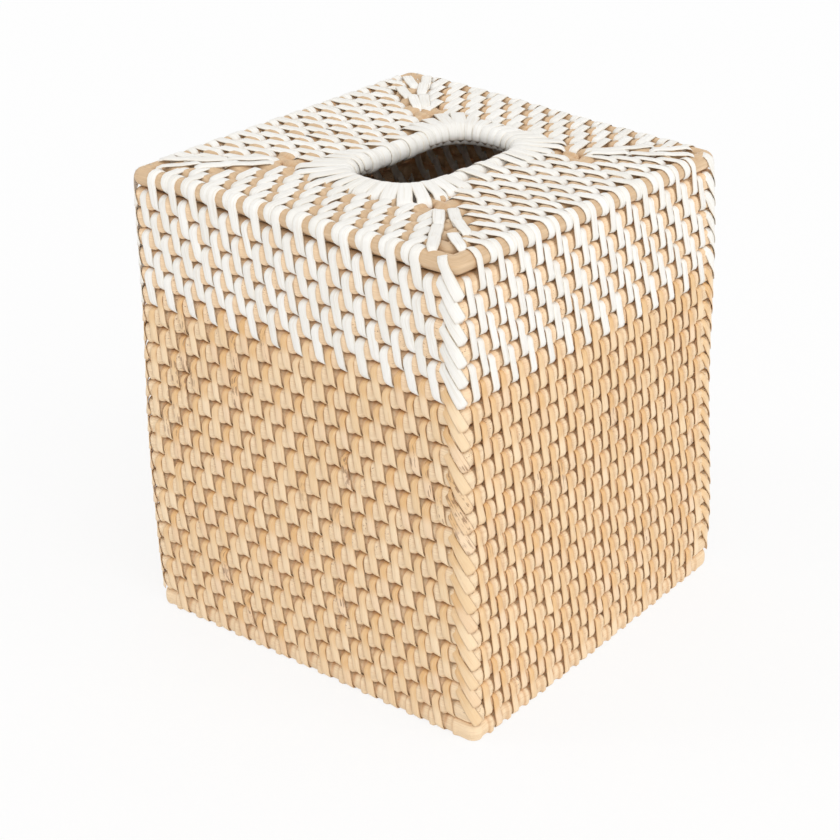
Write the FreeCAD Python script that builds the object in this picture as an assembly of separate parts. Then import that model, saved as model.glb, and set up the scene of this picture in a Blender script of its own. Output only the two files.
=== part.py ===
import FreeCAD, Part
import math
import os
from FreeCAD import Placement, Rotation, Vector

# Square tissue box cover of coiled rattan rods bound with flat cane strips, in millimetres.
# The origin is the middle of the underside, +Z is up and the front wall faces -Y.
# The cover is open below, so that it slips over a cube-shaped box of tissues.

# Driving sizes of the rods
cover_width = 132.0
rod_diameter = 5.8
rod_gap = 0.55
course_count = 24
rest_flat_depth = 0.3

# Driving sizes of the top panel and its opening
top_ring_count = 4
side_rod_count = 2
side_rod_end_gap = 0.3
rim_core_diameter = 5.2
rim_wrap_thickness = 0.5

# Driving sizes of the cane strips
white_course_count = 7
strip_crown = 0.7
strip_seat_gap = 0.03
stitch_pitch = 8.8
stitch_width = 3.1
stitch_overhang = 2.4
stitch_hip = 2.6
stitch_lean = 1.6
top_corner_margin = 4.0
tie_pitch = 5.2
corner_left_reach = 7.0
corner_right_reach = 1.5
corner_strip_drop = 12.0
corner_strip_height = 5.8
corner_strip_thickness = 0.6
corner_clearance = 0.5
corner_bare_run = 1.75

# Sizes of the rods and the rim that follow from the ones above
rod_radius = rod_diameter / 2
pitch = rod_diameter + rod_gap
crest = rod_radius + strip_seat_gap
wall_reach = cover_width / 2 - strip_crown - crest
first_height = rod_radius - rest_flat_depth
top_height = first_height + (course_count - 1) * pitch
last_ring_reach = wall_reach - top_ring_count * pitch
last_side_reach = last_ring_reach - side_rod_count * pitch
rim_core_radius = rim_core_diameter / 2
rim_wrap_radius = rim_core_radius + strip_seat_gap + rim_wrap_thickness
rim_half_length = last_ring_reach - rod_radius - rod_gap - rim_wrap_radius
rim_half_width = last_side_reach - rod_radius - rod_gap - rim_wrap_radius
rim_straight_half = rim_half_length - rim_half_width

# The crest of the rim is level with the crowns of the stitches, and the ties lie on both.
stitch_top = top_height + crest + strip_crown
rim_height = stitch_top - rim_wrap_radius
tie_height = stitch_top + strip_seat_gap

# The stitches of a wall fill the run between the strips of its two upright edges, and the rods
# stay bare for a short run after the strips of the left edge.
stitch_length = pitch + 2 * stitch_overhang
stitch_room = corner_clearance + stitch_width / 2 + stitch_lean / 2
wall_face = wall_reach + crest
stitch_start = corner_right_reach + corner_bare_run + stitch_room - wall_face
stitch_end = wall_face - corner_left_reach - stitch_room
stitch_step = (stitch_end - stitch_start) / round((stitch_end - stitch_start) / stitch_pitch)

x_axis = Vector(1, 0, 0)
z_axis = Vector(0, 0, 1)
quarter_turn = 90
rounding_share = 1e-6
side_names = ["front", "right", "back", "left"]
corner_names = ["front_right", "back_right", "back_left", "front_left"]


def export(name, solids):
    shape = solids[0] if len(solids) == 1 else Part.makeCompound(solids)
    shape.exportStep(f"parts/{name}.step")


def sweep(path, radius):
    # A round rod along a closed flat path that starts within a straight run.
    first = path.Edges[0]
    start = first.firstVertex().Point
    section = Part.Wire(Part.makeCircle(radius, start, first.tangentAt(first.FirstParameter)))
    right_corner = 1
    return path.makePipeShell([section], True, False, right_corner)


def folded_ring(reach, height):
    # One rod folded sharply at four corners, with its two ends meeting at the back.
    corners = [(0, reach), (reach, reach), (reach, -reach), (-reach, -reach), (-reach, reach), (0, reach)]
    return sweep(Part.makePolygon([Vector(x, y, height) for x, y in corners]), rod_radius)


def wall_rod(course):
    ring = folded_ring(wall_reach, first_height + course * pitch)
    if course > 0:
        return ring
    # The lowest rod is worn flat where the cover stands.
    below = Part.makeBox(cover_width, cover_width, rod_diameter)
    below.translate(Vector(-cover_width / 2, -cover_width / 2, -rod_diameter))
    return ring.cut(below)


def top_side_rod(side, place):
    # A straight rod beside a long edge of the opening, inside the last full ring.
    half_length = last_ring_reach - rod_radius - side_rod_end_gap
    reach = side * (last_ring_reach - place * pitch)
    start = Vector(reach, -half_length, top_height)
    return Part.makeCylinder(rod_radius, 2 * half_length, start, Vector(0, 1, 0))


def rim_path():
    # A slot outline, long in Y: two straight runs joined by half circles.
    def at(x, y):
        return Vector(x, y, rim_height)

    right = rim_half_width
    straight = rim_straight_half
    runs = [
        Part.makeLine(at(right, 0), at(right, straight)),
        Part.Arc(at(right, straight), at(0, rim_half_length), at(-right, straight)).toShape(),
        Part.makeLine(at(-right, straight), at(-right, -straight)),
        Part.Arc(at(-right, -straight), at(0, -rim_half_length), at(right, -straight)).toShape(),
        Part.makeLine(at(right, -straight), at(right, 0)),
    ]
    return Part.Wire(runs)


def rim_core():
    return sweep(rim_path(), rim_core_radius)


def rim_wrap():
    path = rim_path()
    return sweep(path, rim_wrap_radius).cut(sweep(path, rim_core_radius + strip_seat_gap))


def crowned_strip(length, lean):
    # One strip, lying on two rods: flat-backed, with a crowned face and ends that run thin.
    # X is to the right along the rods, Y is up across them and Z is outwards.
    half = length / 2
    crown_half = half - stitch_hip

    def at(x, y, z):
        return Vector(x - y * lean / length, y, z)

    side = stitch_width / 2
    base = [at(-side, -half, 0), at(side, -half, 0), at(side, half, 0), at(-side, half, 0)]
    low = at(0, -crown_half, strip_crown)
    high = at(0, crown_half, strip_crown)
    outlines = [
        base,
        [base[0], base[1], low],
        [base[1], base[2], high, low],
        [base[2], base[3], high],
        [base[3], base[0], low, high],
    ]
    faces = [Part.Face(Part.makePolygon(outline + outline[:1])) for outline in outlines]
    solid = Part.makeSolid(Part.makeShell(faces))
    if solid.Volume < 0:
        solid.reverse()
    return solid


def stitch_row(strip, row, height, least, most):
    # A row of stitches across two rods, between two limits. Every second row is set over by half a step.
    start = stitch_start + (stitch_step / 2 if row % 2 == 0 else 0)
    first = math.ceil((least - start) / stitch_step - rounding_share)
    last = math.floor((most - start) / stitch_step + rounding_share)
    places = [start + step * stitch_step for step in range(first, last + 1)]
    return [strip.translated(Vector(place, height, crest)) for place in places]


def wall_stitches(strip, first_row, last_row):
    # Rows of the front wall, laid out flat with Y as the height.
    stitches = []
    for row in range(first_row, last_row):
        height = first_height + row * pitch + pitch / 2
        stitches += stitch_row(strip, row, height, stitch_start, stitch_end)
    return stitches


def top_stitches(strip, side):
    # Rows of one side of the top panel, which go on from the wall's rows towards the opening.
    long_side = side % 2 == 1
    rows = top_ring_count + (side_rod_count if long_side else 0)
    stitches = []
    for row in range(rows):
        inner_reach = max(wall_reach - (row + 1) * pitch, last_ring_reach - pitch)
        inward = row * pitch + pitch / 2
        half_run = inner_reach - top_corner_margin
        stitches += stitch_row(strip, course_count - 1 + row, inward, -half_run, half_run)
    return stitches


def on_wall(stitches, side):
    turn = Rotation(z_axis, side * quarter_turn).multiply(Rotation(x_axis, quarter_turn))
    place = Placement(turn.multVec(Vector(0, 0, wall_reach)), turn)
    return [stitch.transformed(place.toMatrix()) for stitch in stitches]


def on_top(stitches, side):
    turn = Rotation(z_axis, side * quarter_turn)
    place = Placement(turn.multVec(Vector(0, -wall_reach, top_height)), turn)
    return [stitch.transformed(place.toMatrix()) for stitch in stitches]


def rim_ties():
    # Strips that bind the rim to the rods round it, each square to the rim.
    path = rim_path()
    count = round(path.Length / tie_pitch)
    ties = []
    for spot in path.discretize(Number=count + 1)[:-1]:
        along = max(-rim_straight_half, min(rim_straight_half, spot.y))
        outward = Vector(spot.x, spot.y - along, 0).normalize()
        to_side = (last_side_reach - abs(spot.x)) / max(abs(outward.x), rounding_share)
        to_end = (last_ring_reach - abs(spot.y)) / max(abs(outward.y), rounding_share)
        run = min(to_side, to_end)
        middle = spot + outward * (run / 2)
        turn = math.degrees(math.atan2(outward.y, outward.x)) - quarter_turn
        place = Placement(Vector(middle.x, middle.y, tie_height), Rotation(z_axis, turn))
        tie = crowned_strip(run + 2 * stitch_overhang, 0)
        ties.append(tie.transformed(place.toMatrix()))
    return ties


def corner_strip(corner, row):
    # A strip folded round an upright edge, which drops from far on its left to just past the edge.
    inner = wall_face
    outer = inner + corner_strip_thickness
    half = corner_strip_height / 2
    left_end = inner - corner_left_reach
    right_end = inner - corner_right_reach
    fold_share = corner_left_reach / (corner_left_reach + corner_right_reach)
    left_level = first_height + row * pitch + pitch / 2 + corner_strip_drop / 2

    def section(near, far, drop):
        level = left_level - drop
        points = [(near, level - half), (far, level - half), (far, level + half), (near, level + half)]
        return Part.makePolygon([Vector(*spot, z) for spot, z in points + points[:1]])

    left = section((left_end, -inner), (left_end, -outer), 0)
    fold = section((inner, -inner), (outer, -outer), corner_strip_drop * fold_share)
    right = section((inner, -right_end), (outer, -right_end), corner_strip_drop)
    strip = Part.makeLoft([left, fold, right], True, True)
    strip.rotate(Vector(0, 0, 0), z_axis, corner * quarter_turn)
    return strip


def main():
    os.makedirs("parts", exist_ok=True)
    rows = course_count - 1
    white_row = course_count - white_course_count
    strip = crowned_strip(stitch_length, stitch_lean)

    for course in range(course_count):
        export(f"wall_rod_{course + 1:02d}", [wall_rod(course)])
    for ring in range(1, top_ring_count + 1):
        export(f"top_ring_{ring}", [folded_ring(wall_reach - ring * pitch, top_height)])
    for side, name in [(-1, "left"), (1, "right")]:
        for place in range(1, side_rod_count + 1):
            export(f"top_side_rod_{name}_{place}", [top_side_rod(side, place)])
    export("opening_rim_core", [rim_core()])
    export("opening_rim_wrap", [rim_wrap()])
    export("opening_rim_ties", rim_ties())

    for side, name in enumerate(side_names):
        export(f"natural_stitches_{name}", on_wall(wall_stitches(strip, 0, white_row), side))
        export(f"white_stitches_{name}", on_wall(wall_stitches(strip, white_row, rows), side))
        export(f"top_stitches_{name}", on_top(top_stitches(strip, side), side))
    # The lowest and the highest pair of rods are left bare at the upright edges.
    for corner, name in enumerate(corner_names):
        export(f"natural_corner_{name}", [corner_strip(corner, row) for row in range(1, white_row)])
        export(f"white_corner_{name}", [corner_strip(corner, row) for row in range(white_row, rows - 1)])


main()
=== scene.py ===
import math
import bmesh
import bpy
import mathutils
import numpy as np
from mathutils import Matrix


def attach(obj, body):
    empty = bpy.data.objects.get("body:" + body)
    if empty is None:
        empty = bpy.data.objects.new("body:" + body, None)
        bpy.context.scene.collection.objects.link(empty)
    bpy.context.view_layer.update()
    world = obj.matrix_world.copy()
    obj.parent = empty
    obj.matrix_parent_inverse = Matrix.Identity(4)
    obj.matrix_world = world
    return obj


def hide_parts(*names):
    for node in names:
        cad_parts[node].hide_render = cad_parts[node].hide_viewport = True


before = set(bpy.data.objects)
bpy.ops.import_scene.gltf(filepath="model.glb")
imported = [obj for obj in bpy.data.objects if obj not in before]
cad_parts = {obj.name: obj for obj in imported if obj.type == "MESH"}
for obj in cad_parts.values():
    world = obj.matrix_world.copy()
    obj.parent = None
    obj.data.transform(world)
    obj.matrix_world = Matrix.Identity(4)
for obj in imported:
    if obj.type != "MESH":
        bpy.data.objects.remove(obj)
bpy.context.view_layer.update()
print("frame loaded:", len(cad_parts), "nodes")

# Sizes that every piece shares, in millimetres, as in the CAD model. The front wall faces -Y.
cover = {"rodRadius": 2.9, "pitch": 6.35, "reach": 62.37, "firstHeight": 2.6, "courses": 24, "whiteRow": 17,
         "topRings": 4, "sideRods": 2, "bend": 0.9, "stitchStart": -59.2, "stitchStep": 8.819,
         "stitchSteps": 13}
sideNames = ["front", "right", "back", "left"]
cornerNames = ["front_right", "back_right", "back_left", "front_left"]
millimetre = 0.001
edgeCourse = cover["courses"] - 1                  # the top course, which is also the edge of the top panel
topHeight = cover["firstHeight"] + edgeCourse * cover["pitch"]
straight = cover["reach"] - cover["bend"]          # half of a wall's straight run
skinBend = cover["bend"] + cover["rodRadius"]      # radius of a corner on the outside of the rods
turnRun = skinBend * math.pi / 2                   # length of a corner on the outside of the rods
wallEnds = (cover["stitchStart"], cover["stitchStart"] + cover["stitchSteps"] * cover["stitchStep"])
lastRing = cover["reach"] - cover["topRings"] * cover["pitch"]
lastSide = lastRing - cover["sideRods"] * cover["pitch"]
chance = np.random.default_rng(41)


def unit(v):
    # each vector divided by its length
    return v / np.maximum(np.linalg.norm(v, axis=-1, keepdims=True), 1e-9)


def ease(x, low, high):
    # smooth step: 0 below low, 1 above high, and 3x^2 - 2x^3 between them
    x = np.clip((x - low) / (high - low), 0, 1)
    return x * x * (3 - 2 * x)


def bell(x, middle, width):
    # 1 at the middle, falling off as e to the minus square of the distance over the width
    return np.exp(-((x - middle) / width) ** 2)


def stack(*values):
    # values of any matching shapes put side by side in a new last axis
    return np.stack(np.broadcast_arrays(*values), axis=-1)


def bySide(side, x, y, z):
    # a point of the front side turned by side quarter turns about the upright axis
    c, s = [(1, 0), (0, 1), (-1, 0), (0, -1)][side % 4]
    return stack(c * x - s * y, s * x + c * y, z)


def cornerTurn(along, run):
    # how far a place lies past the straight run, and that length over the corner's radius as an angle
    past = np.sign(along) * np.maximum(np.abs(along) - run, 0)
    return past, np.clip(past / skinBend, -math.pi / 2, math.pi / 2)


def onWall(side, along, out, height, reach=cover["reach"]):
    # along runs to the right from the middle of a side and goes on round its corners;
    # out is the distance outwards from the rod's centre line, which is a square with round corners
    run = reach - cover["bend"]
    past, turn = cornerTurn(along, run)
    radius = cover["bend"] + out
    x = np.clip(along, -run, run) + radius * np.sin(turn)
    y = -run - radius * np.cos(turn) + np.abs(past - turn * skinBend)
    return bySide(side, x, y, height)


def wallNormal(side, along, outShare, upShare):
    # the outward direction at a place along a wall, leaning up by the given share
    turn = cornerTurn(along, straight)[1]
    return bySide(side, outShare * np.sin(turn), -outShare * np.cos(turn), upShare)


# The set of the hand-made cover. Moves tell how far each corner is out of true: left or right, front or
# back, foot or top. Waves and lift are a height, two lengths and a start.
lean = {"width": 132.0, "height": 151.5, "openingMove": (2.4, 0.4), "topLevels": (143, 146),
        "moves": [[[(-1.36, -1.98, 0), (0.42, 1.10, 0.62)], [(0, 0, 0), (1.15, 1.24, 0.33)]],
                  [[(3.17, -0.23, 0), (-1.77, 0, 1.49)], [(-0.53, 2.61, 0), (-1.15, -2.97, -3.02)]]],
        "longWave": (0.45, 21, 37, 0), "shortWave": (0.35, 13, -29, 1.3), "waveSpan": 130,
        "footDraw": 0.01, "footHeight": 22, "lift": (0.25, 17, 19, 0.6), "liftLevels": (4, 30)}


def waveAt(wave, up, along):
    # height times the sine of up over one length plus along over the other
    height, upLength, alongLength, start = wave
    return height * np.sin(up / upLength + along / alongLength + start)


def settle(points):
    # the corners' moves shared out over the box, a top panel whose middle is off centre, walls that wave
    # a little and a foot that draws in
    share = points / [lean["width"], lean["width"], lean["height"]] + [0.5, 0.5, 0]
    toX, toY, toZ = np.moveaxis(np.stack([1 - share, share]), -1, 0)
    moved = points + np.einsum("in,jn,kn,ijkc->nc", toX, toY, toZ, np.array(lean["moves"]))
    middle = np.prod(1 - np.clip(points[:, :2] / (lean["width"] / 2), -1, 1) ** 2, axis=1)
    middle = middle * ease(points[:, 2], *lean["topLevels"])
    moved[:, :2] += middle[:, None] * lean["openingMove"]
    x, y, z = moved.T
    wave = waveAt(lean["longWave"], z, x) + waveAt(lean["shortWave"], z, y)
    edge = np.clip(np.maximum(np.abs(x), np.abs(y)) / cover["reach"], 0, 1) ** 4
    grow = 1 - lean["footDraw"] * (1 - ease(z, 0, lean["footHeight"])) + wave * edge / lean["waveSpan"]
    height, xLength, yLength, start = lean["lift"]
    lift = height * np.sin(x / xLength + start) * np.cos(y / yLength) * ease(z, *lean["liftLevels"])
    return stack(x * grow, y * grow, np.maximum(z + lift, 0))


def makePiece(name, nodes, parts):
    # one mesh from several (points, faces, uv, strip, smooth) arrays; the points come in millimetres
    points, uvs, strips = [np.concatenate([part[k].reshape(-1, size) for part in parts])
                           for k, size in ((0, 3), (2, 2), (3, 3))]
    counts = [part[0].size // 3 for part in parts]
    bases = np.concatenate([[0], np.cumsum(counts)[:-1]])
    faces = np.concatenate([part[1] + base for part, base in zip(parts, bases)])
    smooth = np.concatenate([np.broadcast_to(part[4], len(part[1])) for part in parts])
    mesh = bpy.data.meshes.new(name)
    mesh.vertices.add(len(points))
    mesh.vertices.foreach_set("co", (settle(points) * millimetre).ravel())
    mesh.loops.add(faces.size)
    mesh.loops.foreach_set("vertex_index", faces.ravel())
    mesh.polygons.add(len(faces))
    mesh.polygons.foreach_set("loop_start", np.arange(0, faces.size, 4))
    mesh.update(calc_edges=True)
    mesh.polygons.foreach_set("use_smooth", smooth)
    layer = mesh.uv_layers.new(name="UVMap")
    layer.data.foreach_set("uv", uvs[faces.ravel()].ravel())
    values = mesh.attributes.new("strip", "FLOAT_VECTOR", "POINT")
    values.data.foreach_set("vector", strips.ravel())
    joined = bmesh.new()          # points that coincide at seams and ends become one
    joined.from_mesh(mesh)
    bmesh.ops.remove_doubles(joined, verts=joined.verts, dist=1e-7)
    joined.to_mesh(mesh)
    joined.free()
    mesh.validate()
    mesh.update()
    piece = bpy.data.objects.new(name, mesh)
    bpy.context.scene.collection.objects.link(piece)
    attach(piece, "root")
    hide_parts(*nodes)
    return piece


def gridFaces(count, rows, columns):
    # the quads of several grids in one array; each row of points closes into a ring
    r = np.arange(rows - 1)[:, None]
    c = np.arange(columns)[None, :]
    n = (c + 1) % columns
    quads = stack((r + 1) * columns + c, (r + 1) * columns + n, r * columns + n, r * columns + c)
    return (quads.reshape(1, -1, 4) + (np.arange(count) * rows * columns)[:, None, None]).reshape(-1, 4)


# Cross-section of a cane strip: share of the half width, share of the thickness. Each strip's map is moved
# by its own share of the map moves, so that no two strips have the same fibres.
section = np.array([(-1.0, 0.1), (-0.8, 0.86), (0.0, 1.0), (0.8, 0.86), (1.0, 0.1)])
mapMoves = (280, 400)


def ribbons(centre, normal, half, thick, tilt=0.0):
    # strips along rows of centre points: each point of the cross-section is the centre plus its share of
    # the half width across and of the thickness outwards; the rings at both ends shrink to a point
    tangent = unit(np.gradient(centre, axis=1))
    across = unit(np.cross(normal, tangent))
    out = unit(np.cross(tangent, across))
    count, stations = centre.shape[:2]
    closing = np.ones(stations)
    closing[[0, -1]] = 0.0
    width = (half * closing)[..., None] * section[:, 0]
    height = (thick * section[:, 1] + tilt * section[:, 0]) * closing[:, None] + 0 * width
    points = centre[:, :, None] + width[..., None] * across[:, :, None] + height[..., None] * out[:, :, None]
    steps = np.linalg.norm(np.diff(centre, axis=1), axis=-1)
    run = np.concatenate([np.zeros((count, 1)), np.cumsum(steps, axis=1)], axis=1)
    tone = chance.random((count, 1, 1))
    uv = stack(width + tone * mapMoves[0], run[..., None] + tone * mapMoves[1])
    strip = stack(tone, section[:, 0], (run / run[:, -1:])[..., None])
    faces = gridFaces(count, stations, len(section))
    crowned = np.arange(len(faces)) % len(section) < len(section) - 1      # all but the flat back
    return points, faces, uv, strip, crowned


# Rods. Each is pinched under the strips and swells to a flat pad between them; radii are towards its face
# and towards its neighbours, and the power squares its round section. A rod faces outwards on a wall,
# up on the top, and both ways on the edge between them. The painted shade beside the strips is a place in
# the stitch step, a width and a depth of darkening: beside a strip, and in the upper corners beside it, where
# the strips shade the rod. The side of a rod in the gap between two rods gets painted shade as well.
rod = {"samples": 240, "faceRadius": (2.5, 3.08), "sideRadius": (2.95, 3.19), "power": (2.3, 3.8),
       "edgeRadius": 2.78, "edgePower": 2.0,
       "angles": (0, 20, 36, 46, 58, 75, 105, 140, 180, 220, 255, 285, 302, 314, 324, 340),
       "gapStart": 60, "edgeGapStart": 100, "gapFade": 22, "backFade": (118, 150), "backShare": 0.75,
       "besideStripShade": [(0.12, 0.035, 1.0), (0.77, 0.04, 1.0)], "corners": [(0.4, 0.06, 1.0), (0.81, 0.07, 1.3)],
       "stripShadeDepth": 0.7, "stripShadeBegin": (-1, 0), "stripShadeEnd": (1, 2), "ringInset": 8}
pad = {"start": 0.8, "rise": (0.0, 0.07), "fall": (0.18, 0.31), "begin": (-3.4, -1.4), "end": (1, 3),
       "leaveCorner": (-1, 1.5), "cornerShare": 0.45}
straightRod = {"endGap": 0.3, "samples": 112, "tip": 1.5, "farCorner": 200}
facings = {"wall": 0, "edge": 45, "top": 90}


def rowStart(row):
    # every second row of stitches is set over by half a step
    return cover["stitchStart"] + (cover["stitchStep"] / 2 if row % 2 == 0 else 0)


def stitchPlaces(row, least, most):
    # centres of a row of stitches between two limits
    first = math.ceil((least - rowStart(row)) / cover["stitchStep"] - 1e-3)
    last = math.floor((most - rowStart(row)) / cover["stitchStep"] + 1e-3)
    return rowStart(row) + cover["stitchStep"] * np.arange(first, last + 1)


def swell(row, along, run, least, most):
    # 1 where a rod shows and 0 under strips: steep on the left of each bare patch and gentle on its right,
    # with one more bare patch before the first stitch and about half of that round the upright edge
    along = np.where(along > run + turnRun / 2, along - 2 * run - turnRun, along)
    phase = ((along - rowStart(row) - pad["start"]) / cover["stitchStep"]) % 1.0
    bare = ease(phase, *pad["rise"]) * (1 - ease(phase, *pad["fall"]))
    begun, ended = ease(along - least, *pad["begin"]), ease(along - most, *pad["end"])
    corner = pad["cornerShare"]
    before = (corner + (1 - corner) * ease(along + run, *pad["leaveCorner"])) * (1 - begun)
    return bare * begun * (1 - ended) + before + corner * ended


def squared(angle, power):
    # length of a squared circle's radius at an angle: (|cos|^p + |sin|^p)^(-1/p)
    return (np.abs(np.cos(angle)) ** power + np.abs(np.sin(angle)) ** power) ** (-1 / power)


def shadeBells(row, along):
    # sums of bells over the stitch step: painted shade beside a strip, and in its upper corners
    phase = ((along - rowStart(row)) / cover["stitchStep"]) % 1.0
    return [sum(depth * bell(phase, middle, width) for middle, width, depth in rod[kind])
            for kind in ("besideStripShade", "corners")]


def rodSkin(along, swollen, stripShade, facing):
    # section and painted shade round a rod: the side away from its facing lies in the gap between two rods and
    # is painted darker as shade
    angle = np.radians(np.array(rod["angles"]) + facing)
    fromFace = angle - math.radians(facing)
    away = np.degrees(np.abs((fromFace + math.pi) % (2 * math.pi) - math.pi))
    gapStart = rod["edgeGapStart"] if facing == facings["edge"] else rod["gapStart"]
    # painted shade: darker where the rod turns away into the gap between rods, less on its inner side
    paintedShade = ease(away, gapStart, gapStart + rod["gapFade"])
    paintedShade = paintedShade * (1 - rod["backShare"] * ease(away, *rod["backFade"]))
    shadeBesideStrip, shadeInCorner = [bumps[:, None] for bumps in stripShade]
    shadeByStrips = np.maximum(shadeBesideStrip, shadeInCorner * ease(np.sin(fromFace), -0.5, 0.5))
    # painted shade beside each strip and in the upper corners beside it, where the strip's raised edge shades
    # the rod
    paintedShade = np.maximum(paintedShade, rod["stripShadeDepth"] * (away < 90) * shadeByStrips)
    ranges = (rod["faceRadius"], rod["sideRadius"], rod["power"])
    face, beside, power = [low + (high - low) * swollen[:, None] for low, high in ranges]
    if facing == facings["edge"]:
        face, beside, power = rod["edgeRadius"], rod["edgeRadius"], rod["edgePower"] + 0 * power
    across, up = (face, beside) if facing == facings["wall"] else (beside, face)
    radius = squared(angle, power)
    uv = stack(along[:, None], angle * cover["rodRadius"])
    strip = stack(chance.random(), paintedShade, 0 * uv[..., 0])
    return across * radius * np.cos(angle), up * radius * np.sin(angle), uv, strip


def squareRod(name, node, reach, height, row, least, most, facing):
    # a tube along a square with round corners: centre + radius * (cos a outwards + sin a up)
    run = reach - cover["bend"]
    sideRun = 2 * run + turnRun
    along = np.linspace(-run, run + turnRun, rod["samples"], endpoint=False)
    # the painted shade beside the strips only runs between the ends of the stitches
    within = ease(along - least, *rod["stripShadeBegin"]) * (1 - ease(along - most, *rod["stripShadeEnd"]))
    stripShade = [within * bump for bump in shadeBells(row, along)]
    out, up, uv, strip = rodSkin(along, swell(row, along, run, least, most), stripShade, facing)
    points = [onWall(side, along[:, None], out, height + up, reach) for side in range(4)]
    points = np.concatenate(points + [points[0][:1]])
    uv = np.concatenate([uv + [side * sideRun, 0] for side in range(4)] + [uv[:1] + [4 * sideRun, 0]])
    strip = np.concatenate([strip] * 4 + [strip[:1]])
    faces = gridFaces(1, len(points), len(rod["angles"]))
    return makePiece(name, [node], [(points, faces, uv, strip, True)])


def sideRod(name, node, side, place):
    # a straight tube beside the opening, whose ends are rounded by the root of the distance to the end
    half = lastRing - cover["rodRadius"] - straightRod["endGap"]
    along = np.linspace(-half, half, straightRod["samples"])
    row = edgeCourse - 1 + cover["topRings"] + place
    swollen = swell(row, along, straightRod["farCorner"], -half, half)
    out, up, uv, strip = rodSkin(along, swollen, shadeBells(row, along), facings["top"])
    tip = np.sqrt(np.clip((half - np.abs(along)) / straightRod["tip"], 0, 1))[:, None]
    points = bySide(side, along[:, None], place * cover["pitch"] - lastRing - tip * out, topHeight + tip * up)
    faces = gridFaces(1, len(along), len(rod["angles"]))
    return makePiece(name, [node], [(points, faces, uv, strip, True)])


rods = []
for course in range(cover["courses"]):
    rods.append(squareRod(f"wallRod{course + 1:02d}", f"wall_rod_{course + 1:02d}", cover["reach"],
                          cover["firstHeight"] + course * cover["pitch"], course - 1, *wallEnds,
                          facings["edge" if course == edgeCourse else "wall"]))
for ring in range(1, cover["topRings"] + 1):
    reach = cover["reach"] - ring * cover["pitch"]
    rods.append(squareRod(f"topRing{ring}", f"top_ring_{ring}", reach, topHeight, edgeCourse - 1 + ring,
                          -reach + rod["ringInset"], reach - rod["ringInset"], facings["top"]))
for side, name in [(3, "left"), (1, "right")]:
    for place in range(1, cover["sideRods"] + 1):
        rods.append(sideRod(f"topSideRod{name.title()}{place}", f"top_side_rod_{name}_{place}", side, place))
print("rods:", len(rods))

# Stitches. Widths, lean to the right and rise of the right edge are given at the start, quarter, middle,
# three quarters and end of a strip. A strip has more stations round the edge rod than in a gap.
stitch = {"thick": 0.3, "seat": 2.7, "power": 2.5, "edgeSeats": (2.92, 2.8), "edgePower": 2.0,
          "rise": 0.16, "riseShares": (0.4, 0.66), "tuck": 84, "overEdge": 168, "stations": 6,
          "edgeStations": 8, "inset": 3.0, "wander": 0.18, "leanSpread": 0.15, "widthSpread": 0.07,
          "twistSpread": 0.05,
          "white": ([2.8, 3.3, 3.1, 3.05, 2.5], [0.1, -0.5, 0.1, 0.9, 1.8], [-0.1, -0.2, -0.34, -0.1, 0.3]),
          "natural": ([1.9, 2.7, 2.8, 2.9, 2.5], [0.35, -0.35, 0.05, 0.75, 1.3],
                      [-0.05, -0.12, -0.2, 0.0, 0.25]),
          "top": ([3.7, 4.0, 4.0, 3.6, 2.3], [-0.1, -0.1, 0.3, 1.1, 1.9], [0.0, -0.06, -0.12, 0.0, 0.2])}
knots = np.linspace(0, 1, 5)
rightAngle = 90

# The slanting passes inside
inner = {"stations": 6, "lift": 0.1, "power": 0.35, "start": 1.6, "short": 2.1, "halfWidth": 1.6, "thick": 0.4}


def rodChain(side):
    # centres (outwards, height) of the rods on one side, from the lowest wall rod in to the opening
    wall = [(cover["reach"], cover["firstHeight"] + k * cover["pitch"]) for k in range(cover["courses"])]
    count = cover["topRings"] + (cover["sideRods"] if side % 2 else 0)
    return np.array(wall + [(cover["reach"] - j * cover["pitch"], topHeight) for j in range(1, count + 1)])


def rowPath(upper, lower, startTurn, endTurn, seats):
    # an arc round the upper rod, the common tangent, and an arc round the lower rod, in outward and height;
    # a rod that is gone round by less than a right angle has a squared section;
    # the share run along it is counted so that the gap between the two rods is at one half
    along = unit(lower - upper)
    out = np.array([-along[1], along[0]])
    tucks = [turn < rightAngle for turn in (startTurn, endTurn)]
    counts = [stitch["stations" if tuck else "edgeStations"] for tuck in tucks]
    first = -np.radians(np.linspace(startTurn, 0, counts[0]))
    last = np.radians(np.linspace(0, endTurn, counts[1]))
    angle = np.concatenate([first, last])[:, None]
    normal = np.cos(angle) * out + np.sin(angle) * along
    power = np.repeat([stitch["power" if tuck else "edgePower"] for tuck in tucks], counts)[:, None]
    spots = np.repeat(np.stack([upper, lower]), counts, axis=0)
    spots = spots + np.repeat(seats, counts)[:, None] * squared(angle, power) * normal
    run = np.concatenate([[0], np.cumsum(np.linalg.norm(np.diff(spots, axis=0), axis=1))])
    gap = (run[counts[0] - 1] + run[counts[0]]) / 2
    share = np.where(run < gap, 0.5 * run / gap, 0.5 + 0.5 * (run - gap) / (run[-1] - gap))
    return spots, normal, share


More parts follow.
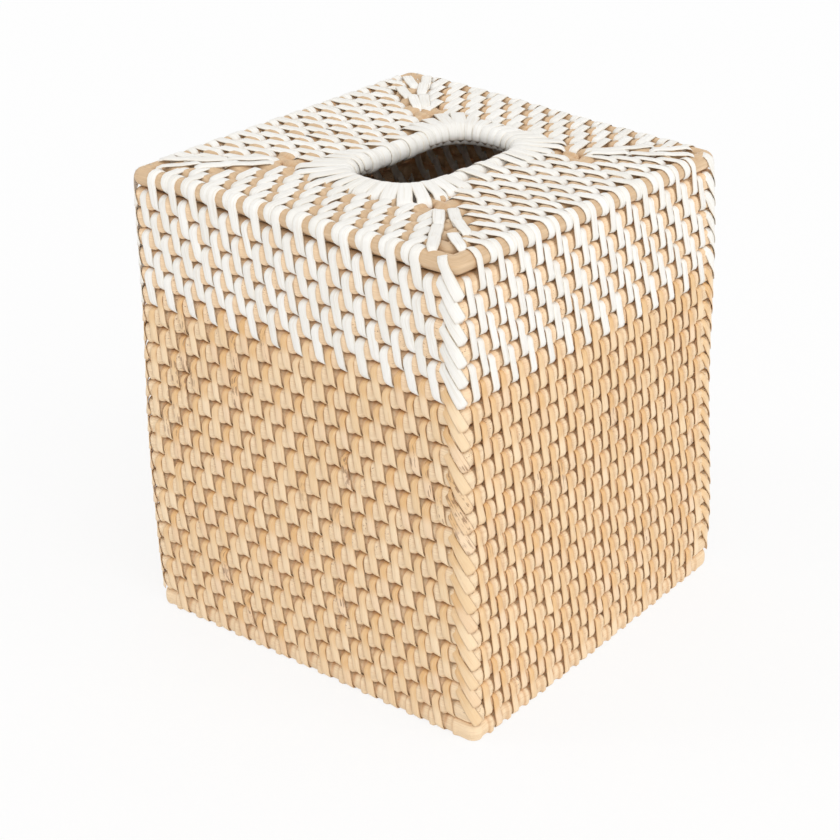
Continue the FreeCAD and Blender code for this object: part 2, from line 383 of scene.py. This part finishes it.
def stitchRow(side, path, places, kind, onTop):
    # strips of one row: the row's path carried to each place, moved along the rods by the lean
    spots, normal, share = path
    widths, leans, twists = [np.interp(share, knots, values) for values in stitch[kind]]
    size = (len(places), 1)
    along = places[:, None] + chance.normal(0, stitch["wander"], size)
    along = along + chance.normal(1, stitch["leanSpread"], size) * leans
    half = chance.normal(1, stitch["widthSpread"], size) * widths / 2
    rise = stitch["rise"] * ease(share, *stitch["riseShares"])
    out, height = spots[:, 0] + rise * normal[:, 0], spots[:, 1] + rise * normal[:, 1]
    if onTop:
        centre = bySide(side, along, -out, height)
        facing = bySide(side, 0 * along, -normal[:, 0], normal[:, 1])
    else:
        centre = onWall(side, along, out - cover["reach"], height)
        facing = wallNormal(side, along, normal[:, 0], normal[:, 1])
    twist = chance.normal(0, stitch["twistSpread"], size) + twists
    return ribbons(centre, facing, half, stitch["thick"], twist[..., None])


def backPass(side, upper, lower, places):
    # the pass inside: a slanting flat strip from the gap below two rods to the gap above them,
    # whose depth is a power of the sine of the share run
    along = unit(lower - upper)
    inward = np.array([along[1], -along[0]])
    share = np.linspace(0, 1, inner["stations"])
    start, end = lower + cover["pitch"] / 2 * along, upper - cover["pitch"] / 2 * along
    depth = (cover["rodRadius"] + inner["lift"]) * np.sin(math.pi * share) ** inner["power"]
    spots = start + (end - start) * share[:, None] + depth[:, None] * inward
    move = places[:, None] + inner["start"] + (cover["stitchStep"] - inner["short"]) * share
    centre = bySide(side, move, -spots[:, 0], spots[:, 1])
    facing = bySide(side, 0 * move, 0 * move - inward[0], 0 * move + inward[1])
    return ribbons(centre, facing, np.full(move.shape, inner["halfWidth"]), inner["thick"])


def stitchParts(side, rows, kind):
    # all rows of one side between two courses; on the top the rows stop short of the diagonals
    chain = rodChain(side)
    parts = []
    for row in rows:
        onTop = row >= edgeCourse
        run = max(chain[row + 1][0], lastRing - cover["pitch"]) - stitch["inset"]
        places = stitchPlaces(row, *((-run, run) if onTop else wallEnds))
        overEdge = [row == edgeCourse - 1, row == edgeCourse]          # from the edge rod, to the edge rod
        turns = [stitch["overEdge" if over else "tuck"] for over in overEdge]
        seats = [seat if over else stitch["seat"] for over, seat in zip(overEdge, stitch["edgeSeats"])]
        path = rowPath(chain[row + 1], chain[row], *turns, seats)
        parts.append(stitchRow(side, path, places, kind, onTop))
        parts.append(backPass(side, chain[row + 1], chain[row], places))
    return parts


# Strips across the mitres of the top: ring that they start from, sideways place, sideways slant, length in
# rods. Crest heights are shares of the rods' radius, at the ends and added between them.
mitre = {"strips": [(4.0, -1.9, -0.8, 2.0), (3.9, 1.8, 1.0, 1.9), (2.9, -2.9, -3.0, 1.9), (2.5, 2.3, 2.8, 1.9),
                    (1.6, -0.6, -2.4, 1.9), (1.55, 4.2, 2.2, 1.8)],
         "width": 3.6, "stations": 11, "drawIn": 1.3, "pivot": 0.3, "asideSpread": 0.3, "tiltSpread": 0.08,
         "rise": (0, 0.16), "fall": (0.86, 1), "crest": (0.3, 0.84), "dip": 0.2, "dipWidth": 0.12,
         "startWidth": 0.75, "widens": 0.3, "widenShares": (0, 0.3), "narrows": 0.35, "narrowShares": (0.7, 1)}


def mitreParts(corner):
    # strips along a diagonal: the distance out falls with the share run, the height dips at both ends
    ring, sideways, slant, rodsCrossed = np.array(mitre["strips"]).T[:, :, None]
    count = ring.shape[0]
    share = np.linspace(0, 1, mitre["stations"])
    root = math.sqrt(0.5)
    outer = (cover["reach"] - (ring - rodsCrossed + 0.5) * cover["pitch"]) / root - mitre["drawIn"]
    along = outer - (1 - share) * rodsCrossed * cover["pitch"] / root
    aside = sideways + slant * (share - mitre["pivot"]) + chance.normal(0, mitre["asideSpread"], (count, 1))
    low, added = mitre["crest"]
    ends = ease(share, *mitre["rise"]) * (1 - ease(share, *mitre["fall"]))
    crest = topHeight + cover["rodRadius"] * (low + added * ends)
    crest = crest - mitre["dip"] * bell(share, 0.5, mitre["dipWidth"])
    centre = bySide(corner, root * (along - aside), -root * (along + aside), crest + 0 * along)
    widths = mitre["startWidth"] + mitre["widens"] * ease(share, *mitre["widenShares"])
    widths = widths - mitre["narrows"] * ease(share, *mitre["narrowShares"])
    half = mitre["width"] / 2 * widths + 0 * along
    facing = np.broadcast_to([0.0, 0.0, 1.0], centre.shape)
    tilt = chance.normal(0, mitre["tiltSpread"], (count, 1, 1))
    return [ribbons(centre, facing, half, stitch["thick"], tilt)]


naturalPieces, whitePieces = [], []
for side, name in enumerate(sideNames):
    title = name.title()
    topRows = range(edgeCourse, len(rodChain(side)) - 1)
    naturalPieces.append(makePiece(f"naturalStitches{title}", [f"natural_stitches_{name}"],
                                   stitchParts(side, range(cover["whiteRow"]), "natural")))
    whitePieces.append(makePiece(f"whiteStitches{title}", [f"white_stitches_{name}"],
                                 stitchParts(side, range(cover["whiteRow"], edgeCourse), "white")))
    whitePieces.append(makePiece(f"topStitches{title}", [f"top_stitches_{name}"],
                                 stitchParts(side, topRows, "top") + mitreParts(side)))
print("stitched sides:", len(sideNames))

# Strips folded round the upright edges
edgeStrip = {"left": 6.3, "right": 1.5, "drop": 13.0, "whiteWidth": 3.6, "naturalWidth": 3.3,
             "thick": 0.32, "tilt": -0.12, "seat": 2.74, "topLift": 2.2, "stations": 14, "bow": 0.5,
             "tuckDepth": 1.9, "tuckShare": 0.14, "endLift": 0.1, "endShares": (0.5, 0.8), "mostOver": 1.7,
             "lowest": 0.5, "startWidth": 0.8, "widenShare": 0.4, "alongSpread": 0.3, "levelSpread": 0.2,
             "widthSpread": 0.06}


def edgeParts(corner, rows, width):
    # strips that slant down round an edge; a strip that starts above the edge rod's middle goes over that rod,
    # by an angle of the height above its middle divided by its radius
    share = np.linspace(0, 1, edgeStrip["stations"])
    rows = np.array(list(rows))[:, None]
    size = (len(rows), 1)
    edge = straight + turnRun / 2
    level = cover["firstHeight"] + (rows + 0.5) * cover["pitch"]
    along = edge - edgeStrip["left"] + (edgeStrip["left"] + edgeStrip["right"]) * share
    along = along + chance.normal(0, edgeStrip["alongSpread"], size)
    along = along + edgeStrip["bow"] * np.sin(share * math.pi)
    height = level + edgeStrip["drop"] * (0.5 - share) + chance.normal(0, edgeStrip["levelSpread"], size)
    height = height + edgeStrip["topLift"] * (rows == edgeCourse - 1) * (1 - share) ** 2
    out = edgeStrip["seat"] - edgeStrip["tuckDepth"] * (1 - ease(share, 0, edgeStrip["tuckShare"]))
    out = out + edgeStrip["endLift"] * ease(share, *edgeStrip["endShares"])
    over = np.clip((height - topHeight) / cover["rodRadius"], 0, edgeStrip["mostOver"])
    height = np.where(over > 0, topHeight + out * np.sin(over), np.maximum(height, edgeStrip["lowest"]))
    centre = onWall(corner, along, out * np.cos(over), height)
    facing = wallNormal(corner, along, np.cos(over), np.sin(over))
    start = edgeStrip["startWidth"]
    half = width / 2 * chance.normal(1, edgeStrip["widthSpread"], size)
    half = half * (start + (1 - start) * ease(share, 0, edgeStrip["widenShare"]))
    return [ribbons(centre, facing, half, edgeStrip["thick"], edgeStrip["tilt"])]


for corner, name in enumerate(cornerNames):
    title = name.title().replace("_", "")
    naturalPieces.append(makePiece(f"naturalEdge{title}", [f"natural_corner_{name}"],
                                   edgeParts(corner, range(1, cover["whiteRow"]), edgeStrip["naturalWidth"])))
    whitePieces.append(makePiece(f"whiteEdge{title}", [f"white_corner_{name}"],
                                 edgeParts(corner, range(cover["whiteRow"], edgeCourse),
                                           edgeStrip["whiteWidth"])))
print("upright edges:", len(cornerNames))

# Rim of the opening: a core, close turns of cane round it, and strips that bind it to the rods beside it.
# A band's inside and outside are the angles that it goes through on the rim and on the rod.
rim = {"halfLength": 31.4, "halfWidth": 17.4, "height": 149.1, "coreRadius": 2.6, "wrapRadius": 3.15,
       "square": 2.5, "samples": 420, "coreSamples": 160, "ringPoints": 16,
       "mostTurns": 80, "turn": 0.22, "turnWidths": (2.2, 5.5), "turnSlant": 0.5, "turnLow": 0.35,
       "turnStart": (0.0, 0.08), "turnEnd": (0.93, 1)}
band = {"count": 17, "width": 3.5, "widen": (0.98, 1.48), "thick": 0.34, "inside": (210, 80),
        "outside": (85, 0), "insideStations": 7, "outsideStations": 5,
        "rimLift": 0.25, "rodLift": 0.3, "endLift": 0.2,
        "strayFrom": 4, "turnSpread": 0.04, "straySpread": 0.35, "widthSpread": 0.07, "tiltSpread": 0.06,
        "sideStart": 195, "sideLift": 0.2, "sideReach": 1}
rimStraight = rim["halfLength"] - rim["halfWidth"]
rimLength = 4 * rimStraight + 2 * math.pi * rim["halfWidth"]


def rimPath(run):
    # a slot outline by arc length: straight, squared half circle, straight, squared half circle;
    # gives the point and the outward direction
    leg = rimLength / 2
    second = (run % rimLength) >= leg
    here = run % leg
    turn = np.clip((here - 2 * rimStraight) / rim["halfWidth"], 0, math.pi)
    flip = np.where(second, -1.0, 1.0)
    nx, ny = flip * np.cos(turn), flip * np.sin(turn)
    radius = rim["halfWidth"] * squared(turn, rim["square"])
    y = flip * (np.minimum(here, 2 * rimStraight) - rimStraight) + radius * ny
    return radius * nx, y, nx, ny


def rimTube(name, node, radius, turns):
    # a closed tube along the slot outline; turns of cane stand a little proud towards one edge
    samples = rim["samples" if turns else "coreSamples"]
    run = np.linspace(0, rimLength, samples + 1)[:, None]
    angle = np.linspace(0, 2 * math.pi, rim["ringPoints"], endpoint=False)[None, :]
    starts = np.cumsum(chance.uniform(*rim["turnWidths"], rim["mostTurns"]))
    count = int(np.searchsorted(starts, rimLength))
    starts = np.concatenate([[0], starts[:count] * rimLength / starts[count - 1]])
    place = (run + rim["turnSlant"] * np.cos(angle)) % rimLength
    index = np.clip(np.searchsorted(starts, place, side="right") - 1, 0, count - 1)
    share = (place - starts[index]) / (starts[index + 1] - starts[index])
    thick = radius + 0 * place
    if turns:
        proud = rim["turn"] * (rim["turnLow"] + (1 - rim["turnLow"]) * share)
        thick = thick + proud * ease(share, *rim["turnStart"]) * (1 - ease(share, *rim["turnEnd"]))
    x, y, nx, ny = rimPath(run)
    out = thick * np.cos(angle)
    points = stack(x + nx * out, y + ny * out, rim["height"] + thick * np.sin(angle))
    uv = stack(run, angle * radius)
    strip = stack(chance.random(rim["mostTurns"])[index], 2 * share - 1, 0.5)
    faces = gridFaces(1, samples + 1, rim["ringPoints"])
    return makePiece(name, [node], [(points, faces, uv, strip, True)])


def endBands(end):
    # bands square to a round end: up its inside, over its crest and down behind the rod beside it
    count = band["count"]
    size = (count, 1)
    turn = (np.arange(count) + 0.5 + chance.normal(0, band["turnSpread"], count))[:, None] * math.pi / count
    nx, ny = np.cos(turn), end * np.sin(turn)
    crest = rim["halfWidth"] * squared(turn, rim["square"])
    x, y = crest * nx, end * rimStraight + crest * ny
    reach = np.minimum((lastSide - np.abs(x)) / np.maximum(np.abs(nx), 1e-6),
                       (lastRing - np.abs(y)) / np.maximum(np.abs(ny), 1e-6))
    inside = np.radians(np.linspace(*band["inside"], band["insideStations"]))
    outside = np.radians(np.linspace(*band["outside"], band["outsideStations"]))
    slope = np.concatenate([inside, outside])
    stations = len(slope)
    radius, seat = rim["wrapRadius"] + band["rimLift"], stitch["seat"] + band["rodLift"]
    onRim = np.broadcast_to(radius * np.cos(inside), (count, len(inside)))
    out = np.concatenate([onRim, reach + seat * np.cos(outside)], axis=1)
    height = np.concatenate([rim["height"] + radius * np.sin(inside),
                             topHeight + seat * np.sin(outside) + band["endLift"]])
    stray = ease(np.arange(stations), band["strayFrom"], stations - 1)
    aside = chance.normal(0, band["straySpread"], size) * stray
    centre = stack(x + nx * out - ny * aside, y + ny * out + nx * aside, height)
    facing = stack(nx * np.cos(slope), ny * np.cos(slope), np.sin(slope))
    half = band["width"] / 2 * (1 + chance.normal(0, band["widthSpread"], size))
    half = half * np.linspace(*band["widen"], stations)
    return ribbons(centre, facing, half, band["thick"], chance.normal(0, band["tiltSpread"], (count, 1, 1)))


def sideBands(side):
    # stitches from the rim's straight run over the rod beside it, in step with the rows of the top panel
    row = edgeCourse + cover["topRings"] + cover["sideRods"]
    places = stitchPlaces(row, -rimStraight - band["sideReach"], rimStraight + band["sideReach"])
    path = rowPath(np.array([rim["halfWidth"], rim["height"]]), np.array([lastSide, topHeight]),
                   band["sideStart"], stitch["tuck"], (rim["wrapRadius"] + band["sideLift"], stitch["seat"]))
    return stitchRow(side, path, places, "top", True)


rods.append(rimTube("rimCore", "opening_rim_core", rim["coreRadius"], False))
whitePieces.append(rimTube("rimWrap", "opening_rim_wrap", rim["wrapRadius"], True))
whitePieces.append(makePiece("rimTies", ["opening_rim_ties"],
                             [endBands(1), endBands(-1), sideBands(1), sideBands(3)]))
print("rim turns and ties made")


# Finishes
class Wire:
    # one shader socket: sums and products of values become Math nodes
    def __init__(self, tree, socket=None):
        self.tree, self.socket = tree, socket

    def node(self, kind, settings=None, inputs=None, output=0):
        # a node of any kind: its settings first, then the values or links of its sockets
        made = self.tree.nodes.new(kind)
        for key, value in (settings or {}).items():
            setattr(made, key, value)
        for key, value in (inputs or {}).items():
            if isinstance(value, Wire):
                self.tree.links.new(value.socket, made.inputs[key])
            else:
                made.inputs[key].default_value = value
        return Wire(self.tree, made.outputs[output] if made.outputs else None)

    def math(self, operation, first, second=0.0):
        # one Math node on two values
        return self.node("ShaderNodeMath", {"operation": operation}, {0: first, 1: second})

    def __add__(self, other):
        return self.math("ADD", self, other)

    def __sub__(self, other):
        return self.math("SUBTRACT", self, other)

    def __rsub__(self, other):
        return self.math("SUBTRACT", other, self)

    def __mul__(self, other):
        return self.math("MULTIPLY", self, other)

    __radd__, __rmul__ = __add__, __mul__

    def above(self, low, high):
        # smooth step from 0 at low to 1 at high
        return self.node("ShaderNodeMapRange", {"interpolation_type": "SMOOTHSTEP"},
                         {"Value": self, "From Min": low, "From Max": high})

    def mix(self, first, second):
        # this share of the second colour over the first
        return self.node("ShaderNodeMix", {"data_type": "RGBA"}, {"Factor": self, 6: first, 7: second}, 2)

    def split(self, count=3):
        # the first parts of a vector
        return [self.node("ShaderNodeSeparateXYZ", None, {"Vector": self}, k) for k in range(count)]


def colour(r, g, b):
    # a screen colour of 0 to 255 as the linear colour that shaders use
    v = np.array([r, g, b]) / 255
    return (*[float(c) for c in np.where(v <= 0.04045, v / 12.92, ((v + 0.055) / 1.055) ** 2.4)], 1.0)


def startFinish(name):
    # an empty material with one shader on its output
    material = bpy.data.materials.new(name)
    material.use_nodes = True
    tree = material.node_tree
    tree.nodes.clear()
    shader = tree.nodes.new("ShaderNodeBsdfPrincipled")
    output = tree.nodes.new("ShaderNodeOutputMaterial")
    tree.links.new(shader.outputs[0], output.inputs[0])
    return material, Wire(tree), shader


def endFinish(w, shader, body, rough, relief):
    # colour, roughness and a bump of a fifth of a millimetre into the shader
    bump = w.node("ShaderNodeBump", None, {"Height": relief, "Strength": 0.4, "Distance": 0.2 * millimetre})
    for key, wire in [("Base Color", body), ("Roughness", rough), ("Normal", bump)]:
        w.tree.links.new(wire.socket, shader.inputs[key])


def fibres(w, across, along, detail=3.0):
    # fibre streaks: noise on the piece's own map, squeezed across the strip and drawn out along it
    uv = w.node("ShaderNodeUVMap", {"uv_map": "UVMap"})
    stretched = w.node("ShaderNodeMapping", None, {"Vector": uv, "Scale": (across, along, 1)})
    return w.node("ShaderNodeTexNoise", {"noise_dimensions": "2D"},
                  {"Vector": stretched, "Scale": 1.0, "Detail": detail})


def patchesAt(w, spot, scale):
    # soft patches: noise on the point's own place
    return w.node("ShaderNodeTexNoise", None, {"Vector": spot, "Scale": scale, "Detail": 1.0})


def stripTones(w):
    # the three values that each strip or rod carries: its own tone, place across it and share run along it;
    # a rod has its painted shade in the gaps and beside the strips in place of the second
    return w.node("ShaderNodeAttribute", {"attribute_name": "strip"}, None, 1).split()


def ownPlace(w):
    # the point's own place in metres
    return w.node("ShaderNodeTexCoord", None, None, 3)


def widest(w, x, y):
    # the greater of two distances from the upright axis
    return w.math("MAXIMUM", w.math("ABSOLUTE", x), w.math("ABSOLUTE", y))


def placeInWalls(w):
    # the point's own place, its height, and 1 inside the walls and below the top
    spot = ownPlace(w)
    x, y, z = spot.split()
    inside = (1 - widest(w, x, y).above(0.0597, 0.0612)) * (1 - z.above(0.1462, 0.1475))
    return spot, z, inside


def tucked(w, share):
    # 1 at both ends of a strip, where it goes into a gap; the finishes paint shade there
    return w.math("MINIMUM", (1 - share.above(0.0, 0.1)) + share.above(0.9, 1.0), 1.0)


# How much painted shade darkens the inside, on all finishes
insideShadeShare = 0.12


def whiteCane():
    # stained white, with pale fibres and cream edges, and painted shade at the ends that go into the gaps
    material, w, shader = startFinish("white_cane")
    tone, across, share = stripTones(w)
    inside = placeInWalls(w)[2]
    fine, broad = fibres(w, 5.5, 0.2), fibres(w, 1.7, 0.06)
    body = tone.mix(colour(240, 237, 230), colour(249, 247, 242))
    body = (broad.above(0.5, 0.72) * 0.5).mix(body, colour(228, 220, 206))
    body = (fine.above(0.45, 0.7) * 0.4).mix(body, colour(252, 250, 246))
    body = (w.math("ABSOLUTE", across).above(0.72, 1.0) * 0.45).mix(body, colour(243, 226, 196))
    # painted shade: the strip's ends go brown where they go into the gaps
    body = (tucked(w, share) * 0.55).mix(body, colour(206, 172, 128))
    # painted shade inside the walls and below the top
    body = (inside * insideShadeShare).mix(body, colour(104, 84, 64))
    endFinish(w, shader, body, fine * 0.2 + 0.36 + inside * 0.3, fine + broad * 0.8)
    return material


def naturalCane():
    # straw yellow, darker on the neck of each strip, with worn brown streaks on a few strips and in patches
    material, w, shader = startFinish("natural_cane")
    tone, across, share = stripTones(w)
    spot, height, inside = placeInWalls(w)
    other = w.math("FRACT", tone * 57.3)          # a second value of its own for each strip
    fine, broad = fibres(w, 5.0, 0.2), fibres(w, 1.5, 0.06)
    body = tone.mix(colour(236, 203, 158), colour(247, 221, 184))
    body = (other.above(0.6, 0.9) * 0.35).mix(body, colour(240, 205, 174))
    neck = 1 - share.above(0.3, 0.56)
    body = (neck * (other * 0.5 + 0.3)).mix(body, colour(224, 174, 106))
    body = (fine.above(0.45, 0.75) * 0.35).mix(body, colour(251, 230, 198))
    body = (broad.above(0.55, 0.78) * 0.35).mix(body, colour(214, 171, 118))
    patches = patchesAt(w, spot, 26.0).above(0.6, 0.66) * other.above(0.3, 0.4) * height.above(0.05, 0.075)
    worn = w.math("MAXIMUM", patches, other.above(0.965, 0.975))
    streaks = worn * broad.above(0.46, 0.58) * fibres(w, 0.8, 0.4).above(0.44, 0.6)
    body = (streaks * 0.75).mix(body, colour(140, 98, 66))
    edge = w.math("ABSOLUTE", across).above(0.7, 1.0)
    body = (edge * (neck * 0.35 + 0.2)).mix(body, colour(186, 136, 82))
    # painted shade: the strip's ends go brown where they go into the gaps
    body = (tucked(w, share) * 0.5).mix(body, colour(196, 142, 84))
    # painted shade inside the walls and below the top
    body = (inside * insideShadeShare).mix(body, colour(96, 72, 50))
    endFinish(w, shader, body, fine * 0.22 + 0.28 + inside * 0.35, fine + broad * 0.8)
    return material


def rattanRod():
    # bare rods: straw below, peach in the white band and greyer on the top, with specks, and painted shade in
    # the gaps and beside the strips
    material, w, shader = startFinish("rattan_rod")
    gap = stripTones(w)[1]
    spot, height, inside = placeInWalls(w)
    fine, broad = fibres(w, 0.12, 3.2), fibres(w, 0.1, 0.9)
    straw = broad.mix(colour(236, 207, 168), colour(248, 224, 190))
    peach = broad.mix(colour(240, 206, 166), colour(251, 225, 191))
    grey = broad.mix(colour(196, 163, 126), colour(232, 203, 166))
    whiteBand = height.above(0.105, 0.112)
    body = height.above(0.1445, 0.1465).mix(whiteBand.mix(straw, peach), grey)
    body = ((1 - fine.above(0.3, 0.5)) * 0.35).mix(body, colour(204, 164, 118))
    specks = fibres(w, 1.3, 1.9, 1.0).above(0.66, 0.72) * patchesAt(w, spot, 34.0).above(0.56, 0.64)
    body = (specks * (1 - height.above(0.143, 0.146)) * 0.6).mix(body, colour(128, 84, 52))
    # painted shade: rods go warm brown in the gaps and beside the strips, less in the white band
    body = (gap * (0.75 - whiteBand * 0.35)).mix(body, colour(190, 130, 70))
    # painted shade inside the walls and below the top
    body = (inside * insideShadeShare).mix(body, colour(88, 66, 46))
    endFinish(w, shader, body, fine * 0.15 + 0.5 + inside * 0.2, fine)
    return material


for pieces, finish in [(whitePieces, whiteCane()), (naturalPieces, naturalCane()), (rods, rattanRod())]:
    for piece in pieces:
        piece.data.materials.append(finish)
print("finishes set")

# Stage: lamps are suns given by strength, spread, tilt and turn. The floor is left plain under the cover.
stage = {"worldLight": 0.72, "floorWhite": 0.8, "floorSize": 8, "underCover": (0.062, 0.064),
         "lamps": {"key": (1.28, 75, 52, 72), "fill": (0.3, 16, 60, -50)}}
view = {"lens": 85.1, "sensor": 36, "azimuth": 40.32, "elevation": 25.26, "roll": -1.353, "distance": 0.6383,
        "targetHeight": 0.0753, "shiftX": -0.0172, "shiftY": -0.0466}


def seenDirectly(w):
    # 1 for what the camera sees, straight, in a reflection or through glass
    rays = [w.node("ShaderNodeLightPath", None, None, name) for name in
            ("Is Camera Ray", "Is Glossy Ray", "Is Transmission Ray")]
    return w.math("MINIMUM", rays[0] + rays[1] + rays[2], 1.0)


def makeFloor():
    # a pale floor; what the camera sees of it is nearly white, and the shadow stays
    bpy.ops.mesh.primitive_plane_add(size=stage["floorSize"])
    floor = bpy.context.object
    floor.name = "floor"
    material, w, shader = startFinish("floor_white")
    shader.inputs["Base Color"].default_value = colour(246, 246, 246)
    shader.inputs["Roughness"].default_value = 0.9
    clear = widest(w, *ownPlace(w).split(2)).above(*stage["underCover"])
    glow = w.node("ShaderNodeEmission", None, {"Color": (1, 1, 1, 1), "Strength": 1.0})
    both = w.node("ShaderNodeMixShader", None, {0: seenDirectly(w) * clear * stage["floorWhite"],
                                                1: Wire(w.tree, shader.outputs[0]), 2: glow})
    target = [n for n in w.tree.nodes if n.type == "OUTPUT_MATERIAL"][0]
    w.tree.links.new(both.socket, target.inputs[0])
    floor.data.materials.append(material)


def makeLight():
    # a world that the camera sees as white and that gives less light than that, and the lamps
    world = bpy.data.worlds.new("studio")
    bpy.context.scene.world = world
    world.use_nodes = True
    world.node_tree.nodes.clear()
    w = Wire(world.node_tree)
    level = seenDirectly(w) * (1.0 - stage["worldLight"]) + stage["worldLight"]
    sky = w.node("ShaderNodeBackground", None, {"Color": (1, 1, 1, 1), "Strength": level})
    w.node("ShaderNodeOutputWorld", None, {"Surface": sky})
    for name, (strength, spread, tilt, turn) in stage["lamps"].items():
        sun = bpy.data.lights.new(name, "SUN")
        sun.energy = strength
        sun.angle = math.radians(spread)
        lamp = bpy.data.objects.new(name, sun)
        bpy.context.scene.collection.objects.link(lamp)
        lamp.rotation_euler = (math.radians(tilt), 0, math.radians(turn))


def makeCamera():
    # the camera looks at a point on the upright axis from the given angles
    a, e, r = [math.radians(view[key]) for key in ("azimuth", "elevation", "roll")]
    back = mathutils.Vector((math.sin(a) * math.cos(e), -math.cos(a) * math.cos(e), math.sin(e)))
    right = mathutils.Vector((math.cos(a), math.sin(a), 0))
    up = back.cross(right)
    axes = mathutils.Matrix((math.cos(r) * right + math.sin(r) * up,
                             math.cos(r) * up - math.sin(r) * right, back))
    data = bpy.data.cameras.new("camera")
    data.sensor_width = view["sensor"]
    data.lens = view["lens"]
    data.shift_x, data.shift_y = view["shiftX"], view["shiftY"]
    camera = bpy.data.objects.new("camera", data)
    bpy.context.scene.collection.objects.link(camera)
    stand = mathutils.Vector((0, 0, view["targetHeight"])) + back * view["distance"]
    camera.matrix_world = mathutils.Matrix.Translation(stand) @ axes.transposed().to_4x4()
    bpy.context.scene.camera = camera


makeFloor()
makeLight()
makeCamera()
bpy.context.scene.view_settings.view_transform = "Standard"
print("stage set")
